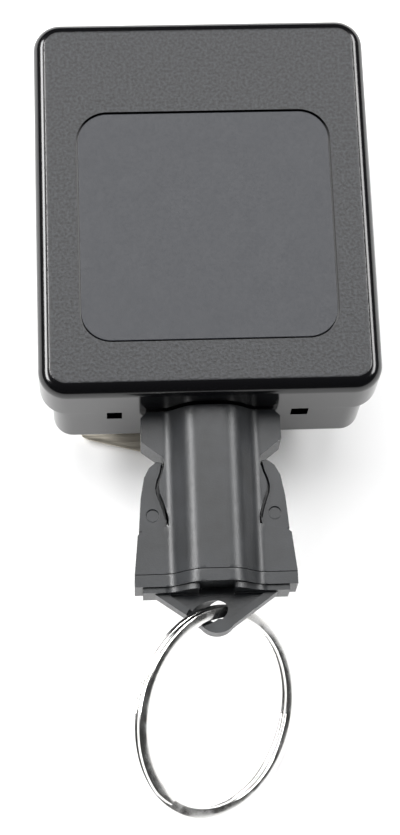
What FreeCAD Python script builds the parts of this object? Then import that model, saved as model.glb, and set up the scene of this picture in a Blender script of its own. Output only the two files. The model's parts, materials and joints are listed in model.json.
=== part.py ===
import FreeCAD, Part
import math
import os

# Retractable reel lying on its belt clip. Millimetres. X to the right, Y away from the
# split ring, Z up. The case is centred on X = 0, Y = 0 and the clip rests at Z = 0.

V = FreeCAD.Vector
ZAX = V(0, 0, 1)
YAX = V(0, 1, 0)

# case
FRONT_Z = 30.0
BACK_Z = 8.2
PART_Z = 20.4
CASE_HX = 25.5
CASE_HY = 30.3
CASE_R = 4.2
EDGE_R = 2.1
SEAM_R = 0.3
REAR_HX = 23.7
REAR_HY = 30.15
REAR_IN_X = 21.9
REAR_IN_Y = 27.3
REAR_R = 3.0
WALL = 2.0
FLOOR_Z = BACK_Z + WALL
ROOF_Z = FRONT_Z - WALL
LABEL_X, LABEL_Y = 0.15, -3.75
LABEL_HX, LABEL_HY, LABEL_R = 19.35, 18.55, 4.8
LABEL_DEPTH, LABEL_THICK, LABEL_GAP = 0.8, 0.6, 0.25
POST_X, POST_Y = 20.3, 25.1
NOTCHES = ((-14.35, 2.3), (13.7, 2.6))

# spool and line
MID_Z = 18.5
LINE_R = 0.55
AXLE_R = 3.0
RUN_GAP = 0.05
SPOOL_R = 21.5
DRUM_R = 17.0
CHAMBER_R = 15.5
SPOOL_Z0 = 12.7
SPOOL_Z1 = 24.3
FLANGE = 1.2
PACK_R = 19.1
SPRING_TURNS = 7.5
SPRING_THICK = 0.25
GUIDE_Y = -26.5

# buckle
SOCKET_Y0 = -30.6
SHOULDER_Y = -32.0
NECK_Y = -37.7
COLLAR_Y = -49.0
MOUTH_Y = -55.5
FLANGE_Y0 = -55.6
FLANGE_Y1 = -57.4
PLUG_Y1 = -58.2
NECK_HX = 6.75
WING_T = 2.9
OUT_X, IN_X = 7.6, 1.4
BULGE_T = 6.3
PRONG_T = 2.0
HOLE_Y = -60.7
# wavy edge of the web plates beside the neck
WEB = [(7.1, -38.6), (7.35, -39.8), (7.85, -41.1), (8.05, -42.1), (7.95, -43.1), (7.5, -44.3),
       (7.05, -45.7), (6.75, -47.0)]
HOLE_R = 1.7
TAB_T = 1.5
PANEL_T = 0.9

# split ring
RING_R = 15.1
COIL_W = 1.8
COIL_T = 0.9
COIL_PITCH = 0.95
RING_N = V(0.6418, -0.3100, 0.7014)
RING_C = V(-0.0236, -0.9222, -0.3859)

# belt clip, described before it is turned about the case's centre
CLIP_TURN = -15.0
CLIP_HX = 12.5
CLIP_TOP = 22.0
CLIP_END = -32.2
PLATE_END = -16.0
BEND_R = 3.75
STRIP_T = 0.9
WASHER_Z = 7.55


def box(x0, x1, y0, y1, z0, z1):
    return Part.makeBox(x1 - x0, y1 - y0, z1 - z0, V(x0, y0, z0))


def cyl(r, z0, z1, x=0.0, y=0.0):
    return Part.makeCylinder(r, z1 - z0, V(x, y, z0), ZAX)


def tube(ro, ri, z0, z1):
    return cyl(ro, z0, z1).cut(cyl(ri, z0 - 1, z1 + 1))


def ycyl(r, y0, y1):
    return Part.makeCylinder(r, y1 - y0, V(0, y0, MID_Z), YAX)


def rounded(hx, hy, r, z0, z1, x=0.0, y=0.0):
    solid = box(x - hx, x + hx, y - hy, y + hy, z0, z1)
    upright = [e for e in solid.Edges if abs(e.tangentAt(e.FirstParameter).z) > 0.9]
    return solid.makeFillet(r, upright)


def round_level(solid, z, r):
    level = [e for e in solid.Edges if all(abs(v.Z - z) < 1e-6 for v in e.Vertexes)]
    return solid.makeFillet(r, level)


def prism(points, z0, z1):
    loop = [V(x, y, z0) for x, y in points]
    face = Part.Face(Part.makePolygon(loop + loop[:1]))
    return face.extrude(V(0, 0, z1 - z0))


def mirrored(points):
    return points + [(-x, y) for x, y in reversed(points)]


def spline(points):
    curve = Part.BSplineCurve()
    curve.interpolate([V(*p) for p in points])
    return curve.toShape()


def wavy_bar(hx, wing, bulge, y0, y1):
    """Flat wings with a smooth central bulge, extruded along Y."""
    def point(x, z):
        return V(x, y0, MID_Z + z)

    def swell(side, sign):
        poles = [(OUT_X, wing), (5.3, wing), (4.7, bulge), (IN_X, bulge)]
        curve = Part.BezierCurve()
        curve.setPoles([point(side * x, sign * z) for x, z in poles])
        return curve.toShape()

    edges = []
    for sign in (1, -1):
        edges.append(Part.makeLine(point(hx, sign * wing), point(OUT_X, sign * wing)))
        edges.append(swell(1, sign))
        edges.append(Part.makeLine(point(IN_X, sign * bulge), point(-IN_X, sign * bulge)))
        edges.append(swell(-1, sign))
        edges.append(Part.makeLine(point(-OUT_X, sign * wing), point(-hx, sign * wing)))
    for side in (1, -1):
        edges.append(Part.makeLine(point(side * hx, -wing), point(side * hx, wing)))
    wire = Part.Wire(Part.__sortEdges__(edges))
    return Part.Face(wire).extrude(V(0, y1 - y0, 0))


def mid_box(hx, y0, y1, hz):
    return box(-hx, hx, y0, y1, MID_Z - hz, MID_Z + hz)


def turned(shape):
    return shape.rotated(V(0, 0, 0), ZAX, CLIP_TURN)


def corners():
    return [(sx * POST_X, sy * POST_Y) for sx in (-1, 1) for sy in (-1, 1)]


def front_cover():
    outer = rounded(CASE_HX, CASE_HY, CASE_R, PART_Z, FRONT_Z)
    outer = round_level(outer, FRONT_Z, EDGE_R)
    outer = round_level(outer, PART_Z, SEAM_R)
    inner = rounded(CASE_HX - WALL, CASE_HY - WALL, CASE_R - WALL, PART_Z - 1, ROOF_Z)
    recess = rounded(LABEL_HX, LABEL_HY, LABEL_R, FRONT_Z - LABEL_DEPTH, FRONT_Z + 1,
                     LABEL_X, LABEL_Y)
    cover = outer.cut(inner).cut(recess)
    for x, y in corners():
        cover = cover.fuse(cyl(2.1, PART_Z + 0.1, ROOF_Z + 0.5, x, y))
    cover = cover.fuse(cyl(5.0, SPOOL_Z1 + 0.55, ROOF_Z + 0.5))
    for x, y in corners():
        cover = cover.cut(cyl(1.0, PART_Z, ROOF_Z - 1.5, x, y))
    return cover.cut(cyl(2.0, SPOOL_Z1, ROOF_Z - 0.9)).removeSplitter()


def label_plate():
    z0 = FRONT_Z - LABEL_DEPTH
    return rounded(LABEL_HX - LABEL_GAP, LABEL_HY - LABEL_GAP, LABEL_R - LABEL_GAP,
                   z0, z0 + LABEL_THICK, LABEL_X, LABEL_Y)


def rear_cover():
    outer = rounded(REAR_HX, REAR_HY, REAR_R, BACK_Z, PART_Z)
    outer = round_level(outer, BACK_Z, 1.2)
    lip = rounded(CASE_HX - WALL - 0.1, CASE_HY - WALL - 0.1, 2.1, PART_Z - 0.5, PART_Z + 2.0)
    inner = rounded(REAR_IN_X, REAR_IN_Y, 1.2, FLOOR_Z, PART_Z + 3)
    cover = outer.fuse(lip).cut(inner)
    for x, y in corners():
        cover = cover.fuse(cyl(2.6, BACK_Z + 1.3, PART_Z, x, y))
    cover = cover.fuse(cyl(5.2, FLOOR_Z - 0.5, SPOOL_Z0 - 0.8))
    for x, y in corners():
        cover = cover.cut(cyl(2.1, BACK_Z - 1, BACK_Z + 1.8, x, y))
        cover = cover.cut(cyl(1.1, BACK_Z, PART_Z + 1, x, y))
        cover = cover.cut(cyl(2.2, PART_Z, PART_Z + 3, x, y))
    cover = cover.cut(cyl(AXLE_R, FLOOR_Z, SPOOL_Z0)).cut(cyl(1.8, BACK_Z - 1, FLOOR_Z + 1))
    for x, width in NOTCHES:
        cover = cover.cut(box(x - width / 2, x + width / 2, -REAR_HY - 1, -REAR_HY + 1.0,
                              PART_Z - 3.2, PART_Z))
    return cover.cut(ycyl(1.7, -REAR_HY - 1, -REAR_IN_Y + 1)).removeSplitter()


def case_screws():
    screws = []
    for x, y in corners():
        z0 = BACK_Z + 0.1
        head = cyl(1.9, z0, BACK_Z + 1.8, x, y)
        head = head.cut(box(x - 1.2, x + 1.2, y - 0.25, y + 0.25, z0 - 1, z0 + 0.8))
        head = head.cut(box(x - 0.25, x + 0.25, y - 1.2, y + 1.2, z0 - 1, z0 + 0.8))
        screws.append(head.fuse(cyl(1.0, BACK_Z + 1.7, ROOF_Z - 2.5, x, y)))
    return Part.makeCompound(screws)


def spool_axle():
    axle = cyl(AXLE_R, FLOOR_Z, SPOOL_Z1 + 0.55)
    axle = axle.fuse(cyl(2.0, SPOOL_Z1, ROOF_Z - 1.0))
    axle = axle.cut(cyl(1.75, FLOOR_Z - 1, FLOOR_Z + 5.2))
    return axle.cut(box(1.9, AXLE_R + 1, -0.2, 0.2, SPOOL_Z0 + FLANGE + 2.5, SPOOL_Z1 - FLANGE))


def spool():
    body = tube(SPOOL_R, AXLE_R + 1.5, SPOOL_Z0, SPOOL_Z0 + FLANGE)
    body = body.fuse(tube(DRUM_R, CHAMBER_R, SPOOL_Z0, SPOOL_Z1))
    body = body.fuse(tube(SPOOL_R, CHAMBER_R, SPOOL_Z1 - FLANGE, SPOOL_Z1))
    body = body.fuse(tube(AXLE_R + 3.0, AXLE_R + 1.5, SPOOL_Z0, SPOOL_Z0 + FLANGE + 0.8))
    # the line's knot sits in this hole through the drum wall
    knot = Part.makeCylinder(0.7, 3, V(0, CHAMBER_R - 0.5, MID_Z), YAX)
    return body.cut(knot).removeSplitter()


def spool_bushing():
    return tube(AXLE_R + 1.5, AXLE_R + RUN_GAP, SPOOL_Z0 - 0.15, SPOOL_Z0 + FLANGE + 1.2)


def spool_cap():
    cap = tube(CHAMBER_R, AXLE_R + RUN_GAP, SPOOL_Z1 - 1.0, SPOOL_Z1)
    for k in range(6):
        a = math.radians(60 * k + 30)
        cap = cap.cut(cyl(1.5, SPOOL_Z1 - 2, SPOOL_Z1 + 1, 9.5 * math.cos(a), 9.5 * math.sin(a)))
    return cap


def power_spring():
    z0 = SPOOL_Z0 + FLANGE + 2.6
    z1 = SPOOL_Z1 - FLANGE - 0.2
    steps = int(SPRING_TURNS * 16)
    r0 = AXLE_R + 0.3
    r1 = CHAMBER_R - SPRING_THICK - 0.1
    sides = []
    for extra in (0.0, SPRING_THICK):
        side = []
        for i in range(steps + 1):
            a = 2 * math.pi * SPRING_TURNS * i / steps
            r = r0 + (r1 - r0) * i / steps + extra
            side.append((r * math.cos(a), r * math.sin(a), z0))
        sides.append(side)
    inner, outer = sides
    edges = [spline(inner), Part.makeLine(V(*inner[-1]), V(*outer[-1])), spline(outer),
             Part.makeLine(V(*outer[0]), V(*inner[0]))]
    face = Part.Face(Part.Wire(Part.__sortEdges__(edges)))
    strip = face.extrude(V(0, 0, z1 - z0))
    return strip.fuse(box(2.0, r0 + 0.1, -0.12, 0.12, z0, z1))


def line_pack():
    z0 = SPOOL_Z0 + FLANGE
    rows = 8
    pitch = (SPOOL_Z1 - SPOOL_Z0 - 2 * FLANGE) / rows
    r = PACK_R - pitch / 2
    edges = [Part.makeLine(V(r, 0, z0), V(DRUM_R, 0, z0))]
    for k in range(rows):
        z = z0 + k * pitch
        edges.append(Part.Arc(V(r, 0, z), V(PACK_R, 0, z + pitch / 2),
                              V(r, 0, z + pitch)).toShape())
    z1 = z0 + rows * pitch
    edges.append(Part.makeLine(V(r, 0, z1), V(DRUM_R, 0, z1)))
    edges.append(Part.makeLine(V(DRUM_R, 0, z0), V(DRUM_R, 0, z1)))
    wire = Part.Wire(Part.__sortEdges__(edges))
    return Part.Face(wire).revolve(V(0, 0, 0), ZAX, 360)


def line_run():
    reach = PACK_R + LINE_R + 0.05
    a = math.acos(reach / -GUIDE_Y) - math.pi / 2
    start = V(reach * math.cos(a), reach * math.sin(a), MID_Z)
    end = V(0, GUIDE_Y, MID_Z)
    run = Part.makeCylinder(LINE_R, (end - start).Length, start, end - start)
    return run.fuse(Part.makeSphere(LINE_R, end)).fuse(ycyl(LINE_R, GUIDE_Y - 0.6, GUIDE_Y))


def line_lead():
    return ycyl(LINE_R, SHOULDER_Y - 1.05, GUIDE_Y - 0.65)


def line_ferrule():
    body = ycyl(1.65, SHOULDER_Y - 4.0, SHOULDER_Y - 0.05)
    groove = ycyl(3, SHOULDER_Y - 2.4, SHOULDER_Y - 1.8).cut(
        ycyl(1.4, SHOULDER_Y - 3, SHOULDER_Y - 1))
    return body.cut(groove).cut(ycyl(LINE_R, SHOULDER_Y - 1.05, SHOULDER_Y))


def line_guide():
    guide = ycyl(1.7, -REAR_HY - 0.15, -REAR_IN_Y)
    guide = guide.fuse(ycyl(2.4, -REAR_IN_Y, -REAR_IN_Y + 0.5))
    return guide.cut(ycyl(0.8, -REAR_HY - 2, -REAR_IN_Y + 1))


def buckle_socket():
    outline = mirrored([(9.6, SOCKET_Y0), (10.5, SOCKET_Y0 - 0.9), (10.5, -35.2),
                        (7.3, NECK_Y)] + WEB + [(NECK_HX, COLLAR_Y + 0.8),
                        (8.4, COLLAR_Y + 0.35), (10.7, COLLAR_Y), (11.4, COLLAR_Y - 0.6),
                        (12.0, MOUTH_Y)])
    body = wavy_bar(12.5, WING_T, BULGE_T, MOUTH_Y, SOCKET_Y0)
    body = body.common(prism(outline, 0, 40))
    body = body.cut(mid_box(20, COLLAR_Y - 0.01, NECK_Y - 0.2, 2.1))
    body = body.cut(mid_box(10.4, MOUTH_Y - 1, COLLAR_Y + 1, 2.1))
    body = body.cut(mid_box(3.4, MOUTH_Y - 1, -40.0, 5.0))
    body = body.cut(ycyl(1.75, -41, SHOULDER_Y)).cut(ycyl(0.8, -41, SOCKET_Y0 + 1))
    return body.removeSplitter()


def prong(side):
    outline = [(7.9, FLANGE_Y0 + 0.05), (9.9, FLANGE_Y0 + 0.05), (9.9, COLLAR_Y + 0.15),
               (11.2, COLLAR_Y + 0.15), (11.1, -47.5), (10.8, -43.7), (10.2, -40.5),
               (9.4, -39.0), (8.3, -38.1), (7.4, -38.3), (6.95, -39.5), (7.4, -42.0),
               (7.2, -44.5), (6.95, -47.2), (7.2, -48.6), (7.9, -50.0)]
    body = prism([(side * x, y) for x, y in outline], MID_Z - PRONG_T, MID_Z + PRONG_T)
    for way in (1, -1):
        z0 = MID_Z + (1.0 if way > 0 else -5.0)
        rim = [(side * (x + 0.45), y) for x, y in WEB] + [(side * 5, -47.4), (side * 5, -37.5)]
        body = body.cut(prism(rim, z0, z0 + 4))
    return body.cut(cyl(0.95, MID_Z + PRONG_T - 0.2, MID_Z + PRONG_T + 1, side * 9.1, -46.4))


def buckle_plug():
    body = wavy_bar(12.0, WING_T, BULGE_T, FLANGE_Y1, FLANGE_Y0)
    body = body.fuse(wavy_bar(10.8, 2.4, 5.2, PLUG_Y1, FLANGE_Y1))
    body = body.fuse(mid_box(3.1, FLANGE_Y0, -44.0, 4.7))
    edges = [Part.makeLine(V(-9.1, PLUG_Y1, 0), V(9.1, PLUG_Y1, 0)),
             Part.makeLine(V(9.1, PLUG_Y1, 0), V(2.4, -63.0, 0)),
             Part.Arc(V(2.4, -63.0, 0), V(0, -64.2, 0), V(-2.4, -63.0, 0)).toShape(),
             Part.makeLine(V(-2.4, -63.0, 0), V(-9.1, PLUG_Y1, 0))]
    tab = Part.Face(Part.Wire(edges)).extrude(V(0, 0, 2 * TAB_T))
    tab.translate(V(0, 0, MID_Z - TAB_T))
    # the eye slants with the ring's wire, so the ring lies in it without touching
    along = ring_axes()[2]
    hole = Part.makeCylinder(HOLE_R, 20, V(0, HOLE_Y, MID_Z) - along * 10, along)
    panel = mirrored([(6.9, PLUG_Y1 - 0.2), (1.9, -62.1)])
    for z0 in (MID_Z + PANEL_T, MID_Z - PANEL_T - 2):
        tab = tab.cut(prism(panel, z0, z0 + 2))
    body = body.fuse(tab).cut(hole)
    for z0 in (MID_Z + 1.0, MID_Z - 7.0):
        body = body.cut(box(-2.6, 2.6, HOLE_Y, FLANGE_Y1, z0, z0 + 6.0))
    return body.removeSplitter()


def ring_axes():
    """The ring's normal, the way from the eye to its centre, and the wire's way in the eye."""
    normal = V(RING_N).normalize()
    inward = RING_C - normal * RING_C.dot(normal)
    inward.normalize()
    return normal, inward, normal.cross(inward)


def split_ring():
    normal, inward, _ = ring_axes()
    helix = Part.makeHelix(COIL_PITCH, 2 * COIL_PITCH, RING_R)
    x0, x1 = RING_R - COIL_W / 2, RING_R + COIL_W / 2
    loop = [V(x, 0, z) for x, z in ((x0, -COIL_T / 2), (x1, -COIL_T / 2),
                                    (x1, COIL_T / 2), (x0, COIL_T / 2))]
    profile = Part.makePolygon(loop + loop[:1])
    ring = Part.Wire(helix.Edges).makePipeShell([profile], True, True)
    ring.translate(V(0, 0, -COIL_PITCH))
    # the wire's ends are turned well away from the eye
    ends = FreeCAD.Rotation(normal, 140).multVec(inward.negative())
    turn = FreeCAD.Rotation(ends, normal.cross(ends), normal, "ZXY")
    centre = V(0, HOLE_Y, MID_Z) + inward * RING_R
    ring.Placement = FreeCAD.Placement(centre, turn).multiply(ring.Placement)
    return ring


def clip_outline(y0, y1):
    return rounded(CLIP_HX, (y1 - y0) / 2, 1.8, -5, 20, 0, (y0 + y1) / 2)


def bend(z0, z1):
    mid = BEND_R
    arc = Part.makeCylinder(BEND_R, 2 * CLIP_HX, V(-CLIP_HX, CLIP_TOP, mid), V(1, 0, 0))
    arc = arc.cut(Part.makeCylinder(BEND_R - STRIP_T, 2 * CLIP_HX,
                                    V(-CLIP_HX, CLIP_TOP, mid), V(1, 0, 0)))
    return arc.common(box(-20, 20, CLIP_TOP, CLIP_TOP + 10, z0, z1))


def clip_plate():
    top = 2 * BEND_R
    plate = box(-CLIP_HX, CLIP_HX, PLATE_END, CLIP_TOP, top - STRIP_T, top)
    plate = plate.fuse(bend(BEND_R + 0.02, 10))
    plate = plate.common(clip_outline(PLATE_END, CLIP_TOP + 6))
    return turned(plate.cut(cyl(2.5 + RUN_GAP, 0, 20)).removeSplitter())


def clip_leaf():
    ramp = [(-14.0, 0.0), (-17.0, 0.7), (-20.0, 2.4), (-22.5, 3.3), (-25.0, 2.6),
            (-28.5, 1.1), (CLIP_END, 0.1)]
    low = [(-CLIP_HX, y, z) for y, z in ramp]
    high = [(-CLIP_HX, y, z + STRIP_T) for y, z in ramp]
    edges = [spline(low), spline(high), Part.makeLine(V(*low[0]), V(*high[0])),
             Part.makeLine(V(*low[-1]), V(*high[-1]))]
    tail = Part.Face(Part.Wire(Part.__sortEdges__(edges))).extrude(V(2 * CLIP_HX, 0, 0))
    flat = box(-CLIP_HX, CLIP_HX, -14.0, CLIP_TOP, 0, STRIP_T)
    leaf = flat.fuse(bend(-5, BEND_R - 0.02)).fuse(tail)
    leaf = leaf.common(clip_outline(CLIP_END, CLIP_TOP + 6)).common(box(-40, 40, -40, 40, 0, 20))
    return turned(leaf.removeSplitter())


def clip_rivet():
    plate_z = 2 * BEND_R - STRIP_T
    rivet = cyl(3.6, plate_z - 0.7, plate_z - 0.05)
    rivet = rivet.fuse(cyl(2.5, plate_z - 0.4, BACK_Z))
    rivet = rivet.fuse(cyl(1.75, plate_z, FLOOR_Z + 5.0))
    return rivet.cut(cyl(1.2, 0, plate_z - 0.4))


def swivel_washer():
    return tube(6.0, 2.5, WASHER_Z, BACK_Z)


PARTS = {
    "front_cover": front_cover(),
    "label_plate": label_plate(),
    "rear_cover": rear_cover(),
    "case_screws": case_screws(),
    "spool_axle": spool_axle(),
    "thrust_washer_rear": tube(5.0, AXLE_R, SPOOL_Z0 - 0.8, SPOOL_Z0 - 0.2),
    "thrust_washer_front": tube(5.0, AXLE_R, SPOOL_Z1 + 0.05, SPOOL_Z1 + 0.55),
    "spool": spool(),
    "spool_bushing": spool_bushing(),
    "spool_cap": spool_cap(),
    "power_spring": power_spring(),
    "line_pack": line_pack(),
    "line_run": line_run(),
    "line_lead": line_lead(),
    "line_ferrule": line_ferrule(),
    "line_guide": line_guide(),
    "buckle_socket": buckle_socket(),
    "buckle_plug": buckle_plug(),
    "prong_left": prong(-1),
    "prong_right": prong(1),
    "split_ring": split_ring(),
    "clip_plate": clip_plate(),
    "clip_leaf": clip_leaf(),
    "clip_rivet": clip_rivet(),
    "swivel_washer": swivel_washer(),
}

os.makedirs("parts", exist_ok=True)
for name, shape in PARTS.items():
    shape.exportStep("parts/" + name + ".step")
    b = shape.optimalBoundingBox()
    print(name, len(shape.Solids), shape.isValid(), round(shape.Volume, 1),
          [round(v, 2) for v in (b.XMin, b.YMin, b.ZMin, b.XMax, b.YMax, b.ZMax)])
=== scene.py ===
import json
import math
import bpy
import bmesh
from mathutils import Matrix, Vector


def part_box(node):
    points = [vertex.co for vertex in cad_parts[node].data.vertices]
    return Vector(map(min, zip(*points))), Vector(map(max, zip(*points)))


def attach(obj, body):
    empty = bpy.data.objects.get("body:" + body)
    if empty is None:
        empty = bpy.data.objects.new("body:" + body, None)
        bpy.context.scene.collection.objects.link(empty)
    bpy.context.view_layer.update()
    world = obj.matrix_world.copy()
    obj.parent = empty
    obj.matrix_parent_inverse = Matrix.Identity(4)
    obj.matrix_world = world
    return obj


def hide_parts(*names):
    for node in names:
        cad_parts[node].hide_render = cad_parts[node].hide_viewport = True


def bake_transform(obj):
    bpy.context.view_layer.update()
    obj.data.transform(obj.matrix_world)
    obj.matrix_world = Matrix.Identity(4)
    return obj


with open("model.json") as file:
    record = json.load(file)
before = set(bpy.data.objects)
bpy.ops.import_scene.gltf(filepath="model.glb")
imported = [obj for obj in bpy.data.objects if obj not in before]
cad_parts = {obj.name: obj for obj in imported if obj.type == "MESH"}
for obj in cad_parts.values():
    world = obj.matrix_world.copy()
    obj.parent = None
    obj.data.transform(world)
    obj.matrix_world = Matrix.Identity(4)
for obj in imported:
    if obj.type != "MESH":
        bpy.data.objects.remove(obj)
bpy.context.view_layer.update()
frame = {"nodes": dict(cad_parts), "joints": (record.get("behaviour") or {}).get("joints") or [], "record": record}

NODES = frame["nodes"]
RECORD = frame["record"]

# viewing angle: pitch towards the ring end, yaw, roll, distance and aim point
PITCH, YAW, ROLL = math.radians(17.22), math.radians(-2.71), math.radians(-2.17)
DISTANCE = 0.3153
AIM = Vector((-0.00195, -0.03426, 0.0300))
LENS = 93.14
SENSOR = 36.0

MM = 0.001
FRONT_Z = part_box("front_cover")[1][2]
LINE_Z = 0.0185


def add_camera():
    toward = Vector((math.sin(YAW) * math.cos(PITCH), -math.sin(PITCH),
                     math.cos(YAW) * math.cos(PITCH)))
    up = Vector((0, 1, 0))
    up = (up - toward * up.dot(toward)).normalized()
    right = up.cross(toward)
    side = right * math.cos(ROLL) + up * math.sin(ROLL)
    top = up * math.cos(ROLL) - right * math.sin(ROLL)
    data = bpy.data.cameras.new("camera")
    data.lens = LENS
    data.sensor_width = SENSOR
    data.clip_start = 0.01
    cam = bpy.data.objects.new("camera", data)
    bpy.context.collection.objects.link(cam)
    cam.matrix_world = Matrix.Translation(AIM + toward * DISTANCE) @ \
        Matrix((side, top, toward)).transposed().to_4x4()
    bpy.context.scene.camera = cam


# ---- materials ----

def new_material(name, base, rough, metallic=0.0, **sockets):
    mat = bpy.data.materials.new(name)
    mat.use_nodes = True
    tree = mat.node_tree
    shader = tree.nodes["Principled BSDF"]
    shader.inputs["Base Color"].default_value = (*base, 1)
    shader.inputs["Roughness"].default_value = rough
    shader.inputs["Metallic"].default_value = metallic
    for key, value in sockets.items():
        shader.inputs[key.replace("_", " ")].default_value = value
    return mat, tree, shader


def coords(tree, stretch=(1, 1, 1)):
    place = tree.nodes.new("ShaderNodeTexCoord")
    scale = tree.nodes.new("ShaderNodeMapping")
    scale.inputs["Scale"].default_value = stretch
    tree.links.new(place.outputs["Object"], scale.inputs["Vector"])
    return scale.outputs["Vector"]


def noise(tree, vector, scale, detail=3.0):
    node = tree.nodes.new("ShaderNodeTexNoise")
    node.inputs["Scale"].default_value = scale
    node.inputs["Detail"].default_value = detail
    tree.links.new(vector, node.inputs["Vector"])
    return node.outputs["Fac"]


def spread(tree, value, low, high, from_low=0.3, from_high=0.7):
    node = tree.nodes.new("ShaderNodeMapRange")
    for key, number in (("From Min", from_low), ("From Max", from_high),
                        ("To Min", low), ("To Max", high)):
        node.inputs[key].default_value = number
    tree.links.new(value, node.inputs["Value"])
    return node.outputs["Result"]


def shade_between(tree, shader, fac, dark, light):
    ramp = tree.nodes.new("ShaderNodeValToRGB")
    ramp.color_ramp.elements[0].color = (*dark, 1)
    ramp.color_ramp.elements[1].color = (*light, 1)
    ramp.color_ramp.elements[0].position = 0.3
    ramp.color_ramp.elements[1].position = 0.7
    tree.links.new(fac, ramp.inputs["Fac"])
    tree.links.new(ramp.outputs["Color"], shader.inputs["Base Color"])


def add_bump(tree, shader, height, strength, distance):
    node = tree.nodes.new("ShaderNodeBump")
    node.inputs["Strength"].default_value = strength
    node.inputs["Distance"].default_value = distance
    tree.links.new(height, node.inputs["Height"])
    tree.links.new(node.outputs["Normal"], shader.inputs["Normal"])


def plastic(name, dark, light, rough, grain=4500, bump=0.25, coat=0.0):
    mat, tree, shader = new_material(name, light, rough, Coat_Weight=coat)
    where = coords(tree)
    fine = noise(tree, where, grain)
    shade_between(tree, shader, noise(tree, where, 260), dark, light)
    tree.links.new(spread(tree, fine, rough - 0.05, rough + 0.06), shader.inputs["Roughness"])
    add_bump(tree, shader, fine, bump, 0.00004)
    return mat


def grained_face(name, dark, light, face_rough, rim_rough, level):
    """Moulded shell: fine grain on the flat front face, polished round the rim; the rim also takes the dark colour
    as painted shade.
    """
    mat, tree, shader = new_material(name, light, face_rough)
    where = coords(tree)
    split = tree.nodes.new("ShaderNodeSeparateXYZ")
    tree.links.new(where, split.inputs[0])
    on_face = spread(tree, split.outputs["Z"], 0, 1, level - 0.00004, level - 0.00001)
    fine = noise(tree, where, 2300, 1.0)
    masked = tree.nodes.new("ShaderNodeMath")
    masked.operation = "MULTIPLY"
    tree.links.new(fine, masked.inputs[0])
    tree.links.new(on_face, masked.inputs[1])
    # off the face the mask is zero, so the rim gets the flat dark colour: its own black plastic, darkened further
    # as painted shade for its dark reflection
    shade_between(tree, shader, masked.outputs[0], dark, light)
    tree.links.new(spread(tree, on_face, rim_rough, face_rough, 0, 1), shader.inputs["Roughness"])
    add_bump(tree, shader, masked.outputs[0], 0.75, 0.00010)
    return mat


def metal(name, dark, light, rough, stretch=(1, 1, 1), scale=600, bump=0.12):
    mat, tree, shader = new_material(name, light, rough, 1.0)
    where = coords(tree, stretch)
    streaks = noise(tree, where, scale, 4.0)
    shade_between(tree, shader, streaks, dark, light)
    tree.links.new(spread(tree, streaks, max(rough - 0.05, 0.02), rough + 0.08),
                   shader.inputs["Roughness"])
    add_bump(tree, shader, streaks, bump, 0.00003)
    return mat


def cord_material():
    mat, tree, shader = new_material("line_cord", (0.03, 0.03, 0.03), 0.7, Sheen_Weight=0.3)
    where = coords(tree)
    wave = tree.nodes.new("ShaderNodeTexWave")
    wave.bands_direction = "DIAGONAL"
    wave.inputs["Scale"].default_value = 900
    tree.links.new(where, wave.inputs["Vector"])
    shade_between(tree, shader, wave.outputs["Fac"], (0.012, 0.012, 0.012), (0.06, 0.06, 0.06))
    add_bump(tree, shader, wave.outputs["Fac"], 0.6, 0.0001)
    return mat


MATERIALS = {
    # the case's dark colour is both the grain's dark tone and painted shade on the polished rim
    "case_plastic": grained_face("case_plastic", (0.002, 0.002, 0.0025), (0.022, 0.0235, 0.027),
                                 0.46, 0.15, FRONT_Z),
    "label_plastic": plastic("label_plastic", (0.011, 0.0125, 0.017), (0.014, 0.0155, 0.020),
                             0.42, 2600, 0.05),
    "buckle_plastic": plastic("buckle_plastic", (0.006, 0.007, 0.008), (0.013, 0.0145, 0.017),
                              0.36, 3800, 0.3),
    "spool_plastic": plastic("spool_plastic", (0.60, 0.60, 0.57), (0.72, 0.72, 0.69), 0.45),
    "nylon": plastic("nylon", (0.72, 0.71, 0.66), (0.84, 0.83, 0.78), 0.5),
    "screw_steel": metal("screw_steel", (0.45, 0.45, 0.46), (0.62, 0.62, 0.63), 0.3),
    "axle_steel": metal("axle_steel", (0.48, 0.48, 0.48), (0.66, 0.66, 0.66), 0.25, (1, 1, 20)),
    "washer_steel": metal("washer_steel", (0.5, 0.5, 0.5), (0.66, 0.66, 0.66), 0.3),
    "guide_steel": metal("guide_steel", (0.7, 0.7, 0.72), (0.82, 0.82, 0.84), 0.14),
    "bushing_brass": metal("bushing_brass", (0.62, 0.44, 0.18), (0.80, 0.60, 0.29), 0.28),
    "ferrule_brass": metal("ferrule_brass", (0.62, 0.44, 0.18), (0.80, 0.60, 0.29), 0.32),
    "spring_steel": metal("spring_steel", (0.20, 0.24, 0.33), (0.40, 0.42, 0.47), 0.25, (1, 1, 12)),
    "clip_steel": metal("clip_steel", (0.74, 0.68, 0.57), (0.88, 0.82, 0.71), 0.34, (1, 14, 1), 260),
    "ring_nickel": metal("ring_nickel", (0.70, 0.69, 0.67), (0.86, 0.86, 0.85), 0.14, bump=0.05),
    "line_cord": cord_material(),
}


# ---- pieces ----

def new_piece(name, verts, faces, slot, body=None):
    mesh = bpy.data.meshes.new(name)
    mesh.from_pydata([tuple(v) for v in verts], [], faces)
    bm = bmesh.new()
    bm.from_mesh(mesh)
    bmesh.ops.recalc_face_normals(bm, faces=bm.faces)
    bm.to_mesh(mesh)
    bm.free()
    piece = bpy.data.objects.new(name, mesh)
    bpy.context.collection.objects.link(piece)
    mesh.materials.append(MATERIALS[slot])
    if body:
        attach(piece, body)
    return piece


def smooth(piece, angle=35):
    mesh = piece.data
    for face in mesh.polygons:
        face.use_smooth = True
    mesh.set_sharp_from_angle(angle=math.radians(angle))


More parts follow.
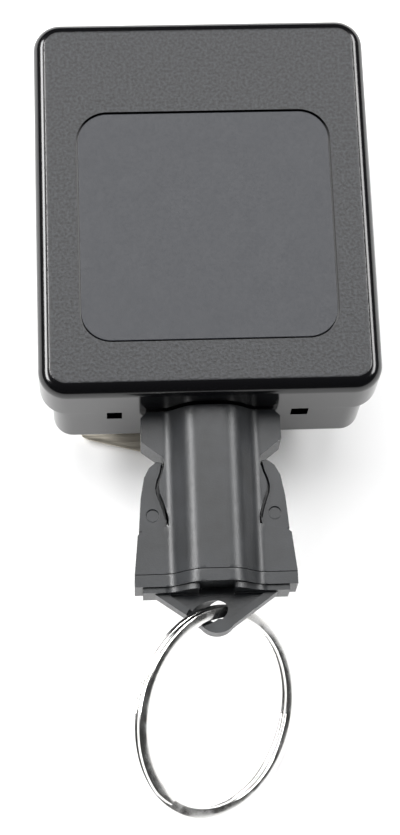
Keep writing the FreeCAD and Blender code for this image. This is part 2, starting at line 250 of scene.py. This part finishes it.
def swept(rings, closed=False):
    """Vertices and faces of a skin through equal rings of points, capped unless closed."""
    n = len(rings[0])
    verts = [p for ring in rings for p in ring]
    faces = []
    spans = len(rings) if closed else len(rings) - 1
    for i in range(spans):
        a, b = i * n, (i + 1) % len(rings) * n
        for k in range(n):
            m = (k + 1) % n
            faces.append((a + k, a + m, b + m, b + k))
    if not closed:
        faces.append(tuple(range(n)))
        faces.append(tuple(range(len(verts) - n, len(verts))))
    return verts, faces


def rounded_section(half_w, half_h, r, steps=4):
    points = []
    for cx, cy, start in ((1, 1, 0), (-1, 1, 90), (-1, -1, 180), (1, -1, 270)):
        for k in range(steps + 1):
            a = math.radians(start + 90 * k / steps)
            points.append((cx * (half_w - r) + r * math.cos(a),
                           cy * (half_h - r) + r * math.sin(a)))
    return points


def key_ring():
    mount = next(m for m in RECORD["mounts"] if m["name"] == "key_ring")
    hinge = next(j for j in frame["joints"] if j["name"] == "ring_swing")
    centre = Vector(mount["pos_m"])
    normal = Vector(mount["axis"]).normalized()
    inward = (centre - Vector(hinge["pos_m"])).normalized()
    radius, pitch = 15.1 * MM, 0.95 * MM
    start = Matrix.Rotation(math.radians(140), 3, normal) @ -inward
    side = normal.cross(start)
    section = rounded_section(0.9 * MM, 0.45 * MM, 0.3 * MM)
    steps = 320
    rings = []
    for i in range(steps + 1):
        turn = 2 * i / steps
        a = 2 * math.pi * turn
        out = start * math.cos(a) + side * math.sin(a)
        # the wire's last few millimetres are ground down at each end
        end = min(i, steps - i) / 5
        thin = 0.55 + 0.45 * min(end, 1.0)
        base = centre + out * radius + normal * (turn - 1) * pitch
        rings.append([base + out * w * thin + normal * h for w, h in section])
    piece = new_piece("split_ring_wire", *swept(rings), "ring_nickel", "ring")
    smooth(piece, 50)
    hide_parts("split_ring")


def pulled_line():
    y0, y1 = -27.2 * MM, -33.0 * MM
    rings = []
    for i in range(41):
        y = y0 + (y1 - y0) * i / 40
        r = (0.53 + 0.02 * math.cos(i * math.pi)) * MM
        rings.append([Vector((r * math.cos(a), y, LINE_Z + r * math.sin(a)))
                      for a in (2 * math.pi * k / 20 for k in range(20))])
    piece = new_piece("pulled_line", *swept(rings), "line_cord")
    smooth(piece, 60)
    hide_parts("line_lead")
    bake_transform(piece)


def clip_path():
    """The strip's centre line, from the plate's lower end round the bend to the leaf's tip."""
    r, t, top = 3.75, 0.9, 22.0
    path = [(y, 2 * r - t / 2) for y in (-16.0, -12, -8, -4, 0, 4, 8, 12, 16, 19, top)]
    for k in range(1, 16):
        a = math.pi * k / 16
        path.append((top + (r - t / 2) * math.sin(a), r + (r - t / 2) * math.cos(a)))
    path += [(y, t / 2) for y in (top, 18, 14, 10, 5, 0, -5, -10, -13.0)]
    path += [(y, z + t / 2) for y, z in ((-14.5, 0.08), (-16, 0.4), (-17.5, 0.95), (-19, 1.8),
                                         (-20.5, 2.65), (-22, 3.24), (-23, 3.28), (-24.5, 2.8),
                                         (-26, 2.1), (-28, 1.26), (-30, 0.62), (-31.4, 0.27),
                                         (-32.0, 0.14), (-32.2, 0.1))]
    return path


def belt_clip():
    path = clip_path()
    turn = Matrix.Rotation(math.radians(-15), 4, "Z")
    half_w, t, corner = 12.5, 0.9, 1.8
    rings = []
    for i, (y, z) in enumerate(path):
        y0, z0 = path[max(i - 1, 0)]
        y1, z1 = path[min(i + 1, len(path) - 1)]
        along = Vector((0, y1 - y0, z1 - z0)).normalized()
        out = Vector((1, 0, 0)).cross(along)
        limit = -32.2 if i > 20 else -16.0
        near = y - limit
        pull = 0.0
        if near < corner:
            pull = corner - math.sqrt(max(corner ** 2 - (corner - near) ** 2, 0))
        ring = [turn @ (Vector((w, y, z)) + out * h) * MM
                for w, h in rounded_section(half_w - pull, t / 2, 0.2, 3)]
        rings.append(ring)
    piece = new_piece("belt_clip", *swept(rings), "clip_steel")
    cutter_rings = []
    for z in (5.0, 9.0):
        cutter_rings.append([Vector((2.56 * math.cos(a), 2.56 * math.sin(a), z)) * MM
                             for a in (2 * math.pi * k / 48 for k in range(48))])
    cutter = bpy.data.meshes.new("cutter")
    cutter.from_pydata([tuple(v) for v in swept(cutter_rings)[0]], [], swept(cutter_rings)[1])
    tool = bpy.data.objects.new("cutter", cutter)
    bpy.context.collection.objects.link(tool)
    hole = piece.modifiers.new("hole", "BOOLEAN")
    hole.object = tool
    hole.solver = "EXACT"
    shaped = bpy.data.meshes.new_from_object(
        piece.evaluated_get(bpy.context.evaluated_depsgraph_get()))
    piece.modifiers.clear()
    piece.data = shaped
    bpy.data.objects.remove(tool)
    smooth(piece, 40)
    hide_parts("clip_plate", "clip_leaf")
    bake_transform(piece)


def soften(name, width, segments=3):
    """Welds a CAD node's facets, joins flat ones and rounds its sharp edges."""
    node = NODES[name]
    weld = node.modifiers.new("weld", "WELD")
    weld.merge_threshold = 0.000002
    flat = node.modifiers.new("flat", "DECIMATE")
    flat.decimate_type = "DISSOLVE"
    flat.angle_limit = math.radians(0.6)
    edge = node.modifiers.new("edge", "BEVEL")
    edge.width = width
    edge.segments = segments
    edge.limit_method = "ANGLE"
    edge.angle_limit = math.radians(32)
    edge.harden_normals = False
    edge.use_clamp_overlap = True
    for face in node.data.polygons:
        face.use_smooth = True
    tidy = node.modifiers.new("normals", "WEIGHTED_NORMAL")
    tidy.keep_sharp = True


def dress_nodes():
    slot_of = {s["node"]: s["material_slot"] for s in RECORD["subparts"]}
    for name, node in NODES.items():
        for slot in node.material_slots:
            slot.material = MATERIALS[slot_of[name]]


def add_floor():
    mat, tree, shader = new_material("floor", (0.93, 0.93, 0.93), 0.6)
    shade_between(tree, shader, noise(tree, coords(tree), 3), (0.92, 0.92, 0.92),
                  (0.94, 0.94, 0.94))
    size = 3.0
    mesh = bpy.data.meshes.new("floor")
    mesh.from_pydata([(-size, -size, -0.0002), (size, -size, -0.0002), (size, size, -0.0002),
                      (-size, size, -0.0002)], [], [(0, 1, 2, 3)])
    floor = bpy.data.objects.new("floor", mesh)
    mesh.materials.append(mat)
    bpy.context.collection.objects.link(floor)


def add_light(name, place, size, power, aim=(0, -0.03, 0.015)):
    data = bpy.data.lights.new(name, "AREA")
    data.shape = "RECTANGLE"
    data.size, data.size_y = size
    data.energy = power
    lamp = bpy.data.objects.new(name, data)
    lamp.location = place
    away = Vector(place) - Vector(aim)
    lamp.rotation_euler = away.to_track_quat("Z", "Y").to_euler()
    bpy.context.collection.objects.link(lamp)


def light_studio():
    world = bpy.data.worlds.new("world")
    world.use_nodes = True
    world.node_tree.nodes["Background"].inputs["Color"].default_value = (1, 1, 1, 1)
    world.node_tree.nodes["Background"].inputs["Strength"].default_value = 0.06
    bpy.context.scene.world = world
    add_light("left", (-0.80, 0.25, 0.70), (1.1, 0.30), 19.0)
    add_light("right", (0.80, 0.25, 0.70), (1.1, 0.30), 13.0)
    add_light("top", (0.0, 0.42, 1.0), (1.0, 0.7), 9.0)


add_camera()
dress_nodes()
for cad_name, edge_width in (("buckle_socket", 0.00035), ("buckle_plug", 0.00028),
                             ("prong_left", 0.0003), ("prong_right", 0.0003),
                             ("label_plate", 0.00012), ("clip_rivet", 0.0002)):
    soften(cad_name, edge_width)
key_ring()
pulled_line()
belt_clip()
add_floor()
light_studio()
bpy.context.scene.view_settings.view_transform = "Standard"
